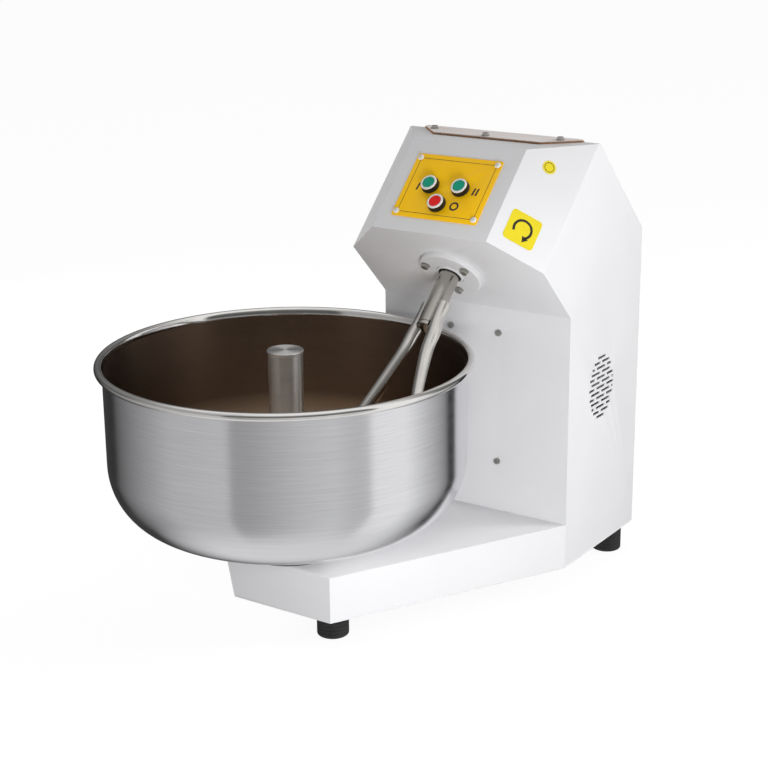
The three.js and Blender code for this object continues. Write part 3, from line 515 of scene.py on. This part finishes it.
def refined(node, width, segments=2, bends=None):
    """A CAD solid with its flat faces merged and its edges rounded. Where bends is given, the edges
    between two large faces get that radius, and all the others get width."""
    source = frame["nodes"][node]
    mesh = bmesh.new()
    mesh.from_mesh(source.data)
    bmesh.ops.remove_doubles(mesh, verts=mesh.verts, dist=2e-6)
    bmesh.ops.dissolve_limit(mesh, angle_limit=math.radians(0.6), verts=mesh.verts, edges=mesh.edges)
    if bends:
        weights = mesh.edges.layers.float.new("bevel_weight_edge")
        for edge in mesh.edges:
            if len(edge.link_faces) != 2 or edge.calc_face_angle() < math.radians(15):
                continue
            smaller = min(face.calc_area() for face in edge.link_faces)
            bend = smaller > LARGE_FACE and edge.calc_length() > LONG_EDGE
            edge[weights] = 1.0 if bend else width / bends
    piece = object_from(node + "_formed", mesh, source["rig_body"], SLOTS[node])
    bevel(piece, bends or width, segments, weighted=bool(bends))
    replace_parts(piece, node)
    return piece


# ---- cabinet and base ------------------------------------------------------------------------------


def make_cabinet():
    refined("body_shell", 0.0004, 4, bends=0.0035)
    refined("base_tongue", 0.0004, 4, bends=0.0025)
    refined("base_plate", 0.0006)
    refined("service_cover", 0.0005)
    refined("service_gasket", 0.0004)
    refined("rear_cover", 0.0005)
    refined("control_plate", 0.0003)


LOUVRES, LOUVRE_PITCH = 8, 0.014
LOUVRE_TOP = 0.5055  # the height of the uppermost one's upper edge
LOUVRE_HALF, LOUVRE_DEPTH, LOUVRE_HEIGHT = 0.062, 0.0055, 0.0095


def make_louvres():
    """A pressed hood over each slot of the rear cover."""
    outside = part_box("rear_cover")[1].y
    section = arc((0, 0), (LOUVRE_DEPTH, LOUVRE_HEIGHT), -90, 0, 5) + [(0, 0)]
    mesh = bmesh.new()
    for row in range(LOUVRES):
        z = LOUVRE_TOP - row * LOUVRE_PITCH
        ends = []
        for x in (-LOUVRE_HALF, LOUVRE_HALF):
            ends.append([mesh.verts.new((CENTRE_X + x, outside + out, z + up)) for out, up in section])
        mesh.faces.new(ends[0])
        mesh.faces.new(ends[1])
        for k in range(len(section)):
            mesh.faces.new([ends[0][k - 1], ends[0][k], ends[1][k], ends[1][k - 1]])
    smooth(object_from("rear_cover_louvres", mesh, "frame", "white_paint"))


def make_feet():
    for name in ("foot_front_right", "foot_front_left", "foot_rear_right", "foot_rear_left"):
        low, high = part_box(name)
        radius, top = (high.x - low.x) / 2, high.z
        outline = [(0, 0)] + arc((radius - 0.004, 0.004), 0.004, -90, 0, 4)
        grooves, pitch = 4, 0.007
        for groove in range(grooves):
            z = 0.009 + groove * pitch
            outline += [(radius, z - 0.0008), (radius - 0.0007, z), (radius, z + 0.0008)]
        outline += arc((radius - 0.002, top - 0.002), 0.002, 0, 90, 3) + [(0, top)]
        centre = (low + high) / 2
        piece = turned(name + "_moulded", outline, 64, "frame", "rubber",
                       Matrix.Translation((centre.x, centre.y, 0)))
        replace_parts(piece, name)


# ---- bolts and screws ------------------------------------------------------------------------------


# Hexagon bolts: the head's width across its flats, the head's height and the washer's radius.
COLUMN_BOLT = (0.010, 0.004, 0.0062)
FLANGE_BOLT = (0.013, 0.0055, 0.0080)
COVER_BOLT = (0.011, 0.0042, 0.0073)
# Domed screws: the head's radius and height.
REAR_SCREW = (0.0045, 0.003)
PLATE_SCREW = (0.0058, 0.0045)
SCREW_INSET_X, SCREW_INSET_Y = 0.008, 0.009  # of the control plate's screws, from its edges


def hex_bolt(node, matrix, across, head, washer):
    """A hexagon-head bolt standing on z = 0: washer, head with a turned crown, and its shank."""
    mesh = lathe(bmesh.new(), [
        (0, 0.0003), (washer - 0.0003, 0.0003), (washer, 0.0006), (washer, 0.0013),
        (washer - 0.0003, 0.0016), (0, 0.0016)], 48)
    corner = across / math.sqrt(3)
    rows = [(0.0016, 1.0), (0.0016 + head * 0.82, 1.0), (0.0016 + head, 0.90)]
    rings = [[mesh.verts.new((corner * k * math.cos(a), corner * k * math.sin(a), z))
              for a in [math.radians(60 * i) for i in range(6)]] for z, k in rows]
    for low, high in zip(rings, rings[1:]):
        for i in range(6):
            mesh.faces.new([low[i - 1], low[i], high[i], high[i - 1]])
    mesh.faces.new(rings[0])
    inner = [mesh.verts.new((0.78 * v.co.x, 0.78 * v.co.y, v.co.z)) for v in rings[-1]]
    sunk = [mesh.verts.new((0.72 * v.co.x, 0.72 * v.co.y, v.co.z - 0.0004)) for v in rings[-1]]
    for outer, nearer in ((rings[-1], inner), (inner, sunk)):
        for i in range(6):
            mesh.faces.new([outer[i - 1], outer[i], nearer[i], nearer[i - 1]])
    mesh.faces.new(sunk)
    lathe(mesh, [(0, -0.010), (0.0028, -0.010), (0.0034, -0.009), (0.0034, 0.0002), (0, 0.0002)], 24)
    piece = object_from(node + "_turned", mesh, frame["nodes"][node]["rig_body"], "zinc_steel", matrix)
    bevel(piece, 0.00035, 2)
    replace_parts(piece, node)


def cross_screw(node, matrix, radius, height, slot, finish=None):
    """A domed screw with a cross recess, standing on z = 0."""
    dome = [(radius * math.cos(a), 0.0004 + (height - 0.0004) * math.sin(a))
            for a in [math.radians(k * 12) for k in range(8)]]
    outline = [(0, 0.0003), (radius, 0.0003), *dome, (0, height)]
    mesh = lathe(bmesh.new(), outline, 40)
    body = frame["nodes"][node]["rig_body"]
    piece = smooth(object_from(node + "_turned", mesh, body, slot, matrix, finish), 50)
    arm, width, deep = radius * 0.62, radius * 0.11, height * 0.5
    corners = []
    for x, y in ((1, 0), (0, 1), (-1, 0), (0, -1)):
        corners += [
            (arm * x + width * y, arm * y - width * x), (arm * x - width * y, arm * y + width * x),
            (width * (x - y), width * (y + x))]
    tool = slab(bmesh.new(), corners, height - deep, height * 2)
    carve(piece, [(tool, matrix)])
    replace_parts(piece, node)


def carve(piece, tools):
    """Cuts closed bmeshes out of a piece and applies the cuts."""
    made = []
    for mesh, matrix in tools:
        data = bpy.data.meshes.new("tool")
        bmesh.ops.recalc_face_normals(mesh, faces=mesh.faces)
        mesh.to_mesh(data)
        mesh.free()
        tool = bpy.data.objects.new("tool", data)
        bpy.context.scene.collection.objects.link(tool)
        tool.matrix_world = matrix
        cut = piece.modifiers.new("cut", "BOOLEAN")
        cut.operation, cut.solver, cut.object = "DIFFERENCE", "EXACT", tool
        made.append(tool)
    apply_modifiers(piece)
    for tool in made:
        bpy.data.objects.remove(tool)


def apply_modifiers(piece):
    bpy.context.view_layer.update()
    graph = bpy.context.evaluated_depsgraph_get()
    data = bpy.data.meshes.new_from_object(piece.evaluated_get(graph), depsgraph=graph)
    piece.modifiers.clear()
    piece.data = data


def make_fasteners():
    for index in range(1, 5):
        low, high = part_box(f"column_bolt_{index}")
        spot = Vector(((low.x + high.x) / 2, FRONT_Y, (low.z + high.z) / 2))
        hex_bolt(f"column_bolt_{index}", placement(spot, (1, 0, 0), (0, -1, 0)), *COLUMN_BOLT)
    for index, angle in enumerate(FLANGE_BOLT_ANGLES, 1):
        x, y = FLANGE_BOLT_CIRCLE * math.cos(angle), FLANGE_BOLT_CIRCLE * math.sin(angle)
        matrix = AGITATOR @ Matrix.Translation((x, y, FLANGE_TOP))
        hex_bolt(f"agitator_flange_bolt_{index}", matrix, *FLANGE_BOLT)
    cover_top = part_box("service_cover")[1].z
    for index in range(1, 4):
        low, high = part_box(f"service_cover_bolt_{index}")
        spot = ((low.x + high.x) / 2, (low.y + high.y) / 2, cover_top)
        hex_bolt(f"service_cover_bolt_{index}", Matrix.Translation(spot), *COVER_BOLT)
    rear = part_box("rear_cover")[1].y
    for index in range(1, 5):
        low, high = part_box(f"rear_cover_screw_{index}")
        spot = ((low.x + high.x) / 2, rear, (low.z + high.z) / 2)
        matrix = placement(spot, (1, 0, 0), (0, 1, 0))
        cross_screw(f"rear_cover_screw_{index}", matrix, *REAR_SCREW, "zinc_steel")
    for index, (across, up) in enumerate(((-1, -1), (1, -1), (-1, 1), (1, 1)), 1):
        x = PLATE_X + across * (PLATE_WIDTH / 2 - SCREW_INSET_X)
        y = PLATE_CENTRE + up * (PLATE_HEIGHT / 2 - SCREW_INSET_Y)
        matrix = PANEL @ Matrix.Translation((x, y, PLATE_TOP))
        cross_screw(f"control_plate_screw_{index}", matrix, *PLATE_SCREW, "polished_steel", "bezel_white")


# ---- control panel ---------------------------------------------------------------------------------


def make_buttons():
    base = PLATE_TOP + 0.0003
    rim = base + BUTTON_HEIGHT
    neck = rim - 0.0026  # where the bright bezel starts
    for name, (x, up, slot, body) in BUTTONS.items():
        matrix = PANEL @ Matrix.Translation((x, up, 0))
        barrel = [
            (0, -0.030), (0.0108, -0.030), (0.0108, base), (BUTTON_RADIUS + 0.0018, base),
            (BUTTON_RADIUS + 0.0020, base + 0.0006), (BUTTON_RADIUS + 0.0019, base + 0.0030),
            (BUTTON_RADIUS + 0.0006, base + 0.0036), (BUTTON_RADIUS + 0.0004, neck),
            (CAP_RADIUS + 0.0006, neck), (CAP_RADIUS + 0.0006, rim - 0.0090), (0, rim - 0.0090)]
        contacts = rounded_rectangle(0.028, 0.038, 0.002)
        mesh = slab(lathe(bmesh.new(), barrel, 56), contacts, -0.0405, -0.0105)
        housing = smooth(object_from(name + "_barrel", mesh, "frame", "black_plastic", matrix))
        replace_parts(housing, name + "_housing")
        collar = [
            (BUTTON_RADIUS - 0.0012, neck), (BUTTON_RADIUS + 0.0004, neck + 0.0002),
            (BUTTON_RADIUS + 0.0002, rim - 0.0012), (BUTTON_RADIUS - 0.0006, rim - 0.0003),
            (BUTTON_RADIUS - 0.0016, rim), (CAP_RADIUS + 0.0012, rim - 0.0002),
            (CAP_RADIUS + 0.0006, rim - 0.0008), (CAP_RADIUS + 0.0006, neck)]
        turned(name + "_bezel", collar, 56, "frame", "black_plastic", matrix, closed=True,
               finish="bezel_white")
        crown = [
            (0, rim - 0.0040), (CAP_RADIUS, rim - 0.0040), (CAP_RADIUS, rim - 0.0008),
            (CAP_RADIUS - 0.0004, rim), (CAP_RADIUS - 0.0012, rim + 0.0002),
            (CAP_RADIUS - 0.0022, rim - 0.0002), (CAP_RADIUS * 0.5, rim + 0.0001), (0, rim + 0.0002)]
        cap = turned(name + "_lens", crown, 56, body, slot, matrix, degrees=50)
        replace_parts(cap, name + "_cap")


def print_mark(name, outlines, matrix, height=0.00012, finish="ink", slot="black_plastic"):
    """A printed or stuck-on mark: thin slabs, each (outline, holes), lying on z = 0."""
    mesh = bmesh.new()
    for outline, holes in outlines:
        slab(mesh, outline, 0.00002, height, holes)
    return object_from(name, mesh, "frame", slot, matrix, finish)


def shifted(points, x, y, shear=0.0):
    return [(px + x + shear * py, py + y) for px, py in points]


def make_panel_marks():
    face = PANEL @ Matrix.Translation((0, 0, PLATE_TOP))
    inset, line = 0.0090, 0.0009
    width, height = PLATE_WIDTH - 2 * inset, PLATE_HEIGHT - 2 * inset
    outer, inner = [
        shifted(rounded_rectangle(width - less, height - less, radius), PLATE_X, PLATE_CENTRE)
        for less, radius in ((0, 0.003), (2 * line, 0.0024))]
    bar = rounded_rectangle(0.0036, 0.0150, 0.0004, 2)
    lean = 0.12
    stop = (0.0275, 0.0590)
    print_mark("panel_border", [(outer, [inner])], face)
    print_mark("panel_mark_one", [(shifted(bar, -0.0595, 0.0915, lean), [])], face)
    print_mark("panel_mark_two", [
        (shifted(bar, 0.0525, 0.0925, lean), []), (shifted(bar, 0.0592, 0.0925, lean), [])], face)
    print_mark("panel_mark_stop", [
        (arc(stop, 0.0089, 0, 348.75, 31), [arc(stop, 0.0054, 0, 348.75, 31)])], face)


def make_stickers():
    """Two plain yellow stickers on the chamfer: a square with a turning arrow, and a round seal."""
    square = CHAMFER_FACE @ Matrix.Translation((0.0495, 0.053, 0.0001))
    print_mark("sticker_square", [(rounded_rectangle(0.058, 0.058, 0.007), [])], square, 0.0003,
               "sticker_yellow", "yellow_plate")
    symbol = square @ Matrix.Translation((0, 0, 0.0003))
    sweep = arc((0, 0), 0.0185, -60, 210, 40) + arc((0, 0), 0.0140, 210, -60, 40)
    arrow = shifted([(0.0, 0.0), (0.0125, -0.0030), (0.0035, -0.0120)], 0.0035, -0.0105)
    print_mark("sticker_symbol", [(sweep, []), (arrow, [])], symbol)
    seal = CHAMFER_FACE @ Matrix.Translation((0.049, 0.182, 0.0001))
    petals, edge = 18, []
    for k in range(144):
        angle = math.radians(k * 2.5)
        radius = 0.0122 + 0.0008 * math.cos(petals * angle)
        edge.append((radius * math.cos(angle), radius * math.sin(angle)))
    print_mark("sticker_seal", [(edge, [])], seal, 0.0003, "sticker_yellow", "yellow_plate")
    print_mark("sticker_seal_ring", [
        (arc((0, 0), 0.0090, 0, 352.5, 47), [arc((0, 0), 0.0080, 0, 352.5, 47)])],
        seal @ Matrix.Translation((0, 0, 0.0003)))


# ---- fork ------------------------------------------------------------------------------------------


def curve_through(points, steps):
    """Points along a smooth curve through the given ones (centripetal Catmull-Rom)."""
    knots = [2 * points[0] - points[1], *points, 2 * points[-1] - points[-2]]
    path = []
    for p0, p1, p2, p3 in zip(knots, knots[1:], knots[2:], knots[3:]):
        times = [0.0]
        for a, b in ((p0, p1), (p1, p2), (p2, p3)):
            times.append(times[-1] + math.sqrt((b - a).length))
        t0, t1, t2, t3 = times
        for k in range(steps):
            t = t1 + (t2 - t1) * k / steps
            a1 = p0.lerp(p1, (t - t0) / (t1 - t0))
            a2 = p1.lerp(p2, (t - t1) / (t2 - t1))
            a3 = p2.lerp(p3, (t - t2) / (t3 - t2))
            b1 = a1.lerp(a2, (t - t0) / (t2 - t0))
            b2 = a2.lerp(a3, (t - t1) / (t3 - t1))
            path.append(b1.lerp(b2, (t - t1) / (t2 - t1)))
    return path + [points[-1].copy()]


def tube(mesh, path, radius, sides):
    """A round bar along a path that lies in the plane y = 0, with a flat start and a domed end."""
    rings = []
    for index, point in enumerate(path):
        ahead = path[min(index + 1, len(path) - 1)] - path[max(index - 1, 0)]
        across = Vector((0, 1, 0))
        side = ahead.normalized().cross(across)
        rings.append([mesh.verts.new(point + radius * (math.cos(a) * across + math.sin(a) * side))
                      for a in [2 * math.pi * k / sides for k in range(sides)]])
    ahead = (path[-1] - path[-2]).normalized()
    for k in range(1, 6):
        angle = math.radians(15 * k)
        centre = path[-1] + ahead * radius * math.sin(angle)
        spokes = [(v.co - path[-1]) * math.cos(angle) for v in rings[len(path) - 1]]
        rings.append([mesh.verts.new(centre + spoke) for spoke in spokes])
    for low, high in zip(rings, rings[1:]):
        for k in range(sides):
            mesh.faces.new([low[k - 1], low[k], high[k], high[k - 1]])
    mesh.faces.new(rings[0])
    mesh.faces.new(rings[-1])
    return mesh


def tine_path():
    stations = [
        (TINE_OFFSET, TINE_START), (TINE_OFFSET + 0.0005, 0.100), (TINE_OFFSET + 0.006, 0.136),
        (TINE_OFFSET + 0.009, 0.166), (TINE_OFFSET + 0.025, 0.222), (TINE_OFFSET + 0.055, 0.308),
        (TINE_SPREAD - 0.006, 0.370), (TINE_SPREAD, 0.420), (TINE_SPREAD - 0.022, 0.464),
        (TINE_SPREAD - 0.057, TINE_TIP)]
    return curve_through([Vector((x, 0, z)) for x, z in stations], 10)


def weld_bead(mesh, points, radius, sides=8):
    """A rippled bead of weld along a list of points."""
    rings = []
    for index, point in enumerate(points):
        ahead = (points[min(index + 1, len(points) - 1)] - points[max(index - 1, 0)]).normalized()
        across = ahead.orthogonal().normalized()
        other = ahead.cross(across)
        swell = radius * (1 + 0.16 * math.sin(index * 2.1))
        if index in (0, len(points) - 1):
            swell *= 0.4
        rings.append([mesh.verts.new(point + swell * (math.cos(a) * across + math.sin(a) * other))
                      for a in [2 * math.pi * k / sides for k in range(sides)]])
    for low, high in zip(rings, rings[1:]):
        start = min(range(sides), key=lambda k: (high[k].co - low[0].co).length)
        for k in range(sides):
            near, far = high[(start + k - 1) % sides], high[(start + k) % sides]
            mesh.faces.new([low[k - 1], low[k], far, near])
    mesh.faces.new(rings[0])
    mesh.faces.new(rings[-1])


def make_fork():
    neck = SHAFT_END - 0.009
    outline = [
        (0, SHAFT_TOP), (SEAT_RADIUS - 0.0005, SHAFT_TOP), (SEAT_RADIUS, SHAFT_TOP + 0.0005),
        (SEAT_RADIUS, SEAT_END), (SHAFT_RADIUS, SEAT_END), (SHAFT_RADIUS, neck),
        (SHAFT_RADIUS - 0.0015, neck + 0.001), (SHAFT_RADIUS - 0.0015, neck + 0.003),
        (SHAFT_RADIUS + 0.0005, neck + 0.004), (SHAFT_RADIUS + 0.0005, SHAFT_END - 0.001),
        (SHAFT_RADIUS - 0.0005, SHAFT_END), (0, SHAFT_END)]
    shaft = turned("agitator_shaft_ground", outline, 96, "agitator", "polished_steel", FORK,
                   finish="shaft_steel")
    seats = []
    for side in (-1, 1):
        radius = TINE_RADIUS + 0.0006
        seat = lathe(bmesh.new(), [
            (0, TINE_START - 0.0003), (radius, TINE_START - 0.0003), (radius, 0.13), (0, 0.13)], 64)
        seats.append((seat, FORK @ Matrix.Translation((side * TINE_OFFSET, 0, 0))))
    carve(shaft, seats)
    smooth(shaft)
    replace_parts(shaft, "agitator_shaft")

    path = tine_path()
    for side, name in ((1, "agitator_tine_right"), (-1, "agitator_tine_left")):
        mesh = tube(bmesh.new(), [Vector((side * p.x, p.y, p.z)) for p in path], TINE_RADIUS, 40)
        piece = object_from(name + "_bent", mesh, "agitator", "polished_steel", FORK, "fork_steel")
        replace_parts(smooth(piece), name)

    mesh = bmesh.new()
    # Where a tine's circle meets the shaft's.
    reach = (TINE_OFFSET ** 2 + SHAFT_RADIUS ** 2 - TINE_RADIUS ** 2) / (2 * TINE_OFFSET)
    contact = math.sqrt(SHAFT_RADIUS ** 2 - reach ** 2)
    for side in (-1, 1):
        for front in (-1, 1):
            bead = [Vector((side * reach, front * contact, TINE_START + 0.0025 * k)) for k in range(17)]
            weld_bead(mesh, bead, 0.0013)
    smooth(object_from("fork_weld_beads", mesh, "agitator", "polished_steel", FORK, "weld"), 60)


def make_shaft_fittings():
    flange = [
        (0.026, 0.0003), (FLANGE_RADIUS, 0.0003), (FLANGE_RADIUS, 0.0068),
        *arc((FLANGE_RADIUS - 0.003, 0.007), 0.003, 0, 90, 6), (0.0268, 0.010), (0.026, 0.0094)]
    piece = turned("agitator_flange_cast", flange, 96, "frame", "zinc_steel", AGITATOR, closed=True,
                   finish="white_paint")
    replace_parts(piece, "agitator_flange")
    case = [
        (0.0212, 0.001), (0.0255, 0.001), (0.0255, 0.0108), (0.0250, 0.0115), (0.0218, 0.0115),
        (0.0212, 0.0109)]
    piece = turned("agitator_seal_case", case, 72, "frame", "rubber", AGITATOR, closed=True,
                   finish="white_paint")
    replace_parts(piece, "agitator_seal")
    lip = [
        (SHAFT_RADIUS + 0.0005, 0.002), (0.0211, 0.002), (0.0211, 0.0104), (0.0205, 0.0108),
        (SHAFT_RADIUS + 0.0014, 0.0112), (SHAFT_RADIUS + 0.0005, 0.0108)]
    piece = turned("agitator_seal_lip", lip, 72, "frame", "rubber", AGITATOR, closed=True)
    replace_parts(piece, "agitator_seal")


# ---- bowl ------------------------------------------------------------------------------------------


def bowl_wall(inset, steps=20):
    """The bowl's outline from the middle of its bottom up to the top of its rounded corner."""
    width, height = CORNER_WIDTH - inset, CORNER_HEIGHT - inset
    centre = (WALL_RADIUS - inset - width, BOWL_LOW.z + inset + height)
    floor = BOWL_LOW.z + inset
    return [(0.009, floor), (0.1, floor)] + arc(centre, (width, height), -90, 0, steps)


def make_bowl():
    outside = bowl_wall(0)
    rim = arc((RIM_RADIUS - RIM_BEAD, RIM_Z), RIM_BEAD, -126, 168, 26)
    inside = bowl_wall(BOWL_SHEET)[::-1]
    outline = [
        *outside, (WALL_RADIUS, RIM_Z - 0.030), *rim, (WALL_RADIUS - BOWL_SHEET, RIM_Z - 0.006), *inside]
    sides = 256
    mesh = lathe(bmesh.new(), outline, sides, closed=True)
    piece = object_from("bowl_spun", mesh, "bowl_unit", "brushed_steel", Matrix.Translation(BOWL_AXIS))
    piece.data.materials.append(MATERIALS["polished_steel"])
    # The inside faces take the steel with painted reflection and shade.
    piece.data.materials.append(MATERIALS["bowl_inside_painted_reflection"])
    rolled = len(outside) + 1  # the rim's first ring
    for face in piece.data.polygons:
        band = face.index // sides
        face.material_index = 0 if band < rolled else 1 if band < rolled + len(rim) else 2
    smooth(piece, 40)
    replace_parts(piece, "bowl")

    low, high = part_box("bowl_post")
    radius, foot = (high.x - low.x) / 2 - 0.0015, low.z
    post = [
        (0.0092, foot), (radius + 0.0015, foot), (radius + 0.0015, foot + 0.002), (radius, foot + 0.005),
        (radius, high.z - 0.0062), (radius + 0.0013, high.z - 0.0050),
        (radius + 0.0015, high.z - 0.0014), (radius + 0.0006, high.z - 0.0002),
        (radius - 0.0006, high.z), (0, high.z), (0, foot + 0.040), (0.0092, foot + 0.040)]
    mesh = lathe(bmesh.new(), post, 96, closed=True)
    bmesh.ops.remove_doubles(mesh, verts=mesh.verts, dist=1e-7)
    piece = smooth(object_from("bowl_post_turned", mesh, "bowl_unit", "brushed_steel",
                               Matrix.Translation(BOWL_AXIS), "post_steel"))
    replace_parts(piece, "bowl_post")


# ---- rear fittings ---------------------------------------------------------------------------------


def make_gland():
    low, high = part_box("cable_gland")
    spot = ((low.x + high.x) / 2, SHELL_HIGH.y, (low.z + high.z) / 2)
    outline = [
        (0, -0.012), (0.010, -0.012), (0.010, 0.0003), (0.0138, 0.0003), (0.0140, 0.0010),
        (0.0140, 0.0064), (0.0132, 0.0072), (0.0115, 0.0078), (0.0112, 0.0170), (0.0104, 0.0196),
        (0.0088, 0.0216), (0.0076, 0.0220), (0.0050, 0.0220), (0.0050, 0.0060), (0, 0.0060)]
    piece = turned("cable_gland_moulded", outline, 48, "frame", "black_plastic",
                   placement(spot, (1, 0, 0), (0, 1, 0)))
    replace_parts(piece, "cable_gland")


def finish_inner_pieces():
    """The parts of the drives keep their solids and take their slot's material."""
    for name, node in frame["nodes"].items():
        if name in SLOTS:
            node.data.materials.clear()
            node.data.materials.append(MATERIALS[SLOTS[name]])


bpy.context.scene.view_settings.view_transform = "Standard"
SLOTS = {part["node"]: part["material_slot"] for part in frame["record"]["subparts"]}
MATERIALS = make_materials()
make_camera()
make_world()
make_lights()
make_floor()
make_cabinet()
make_louvres()
make_feet()
make_fasteners()
make_buttons()
make_panel_marks()
make_stickers()
make_fork()
make_shaft_fittings()
make_bowl()
make_gland()
finish_inner_pieces()
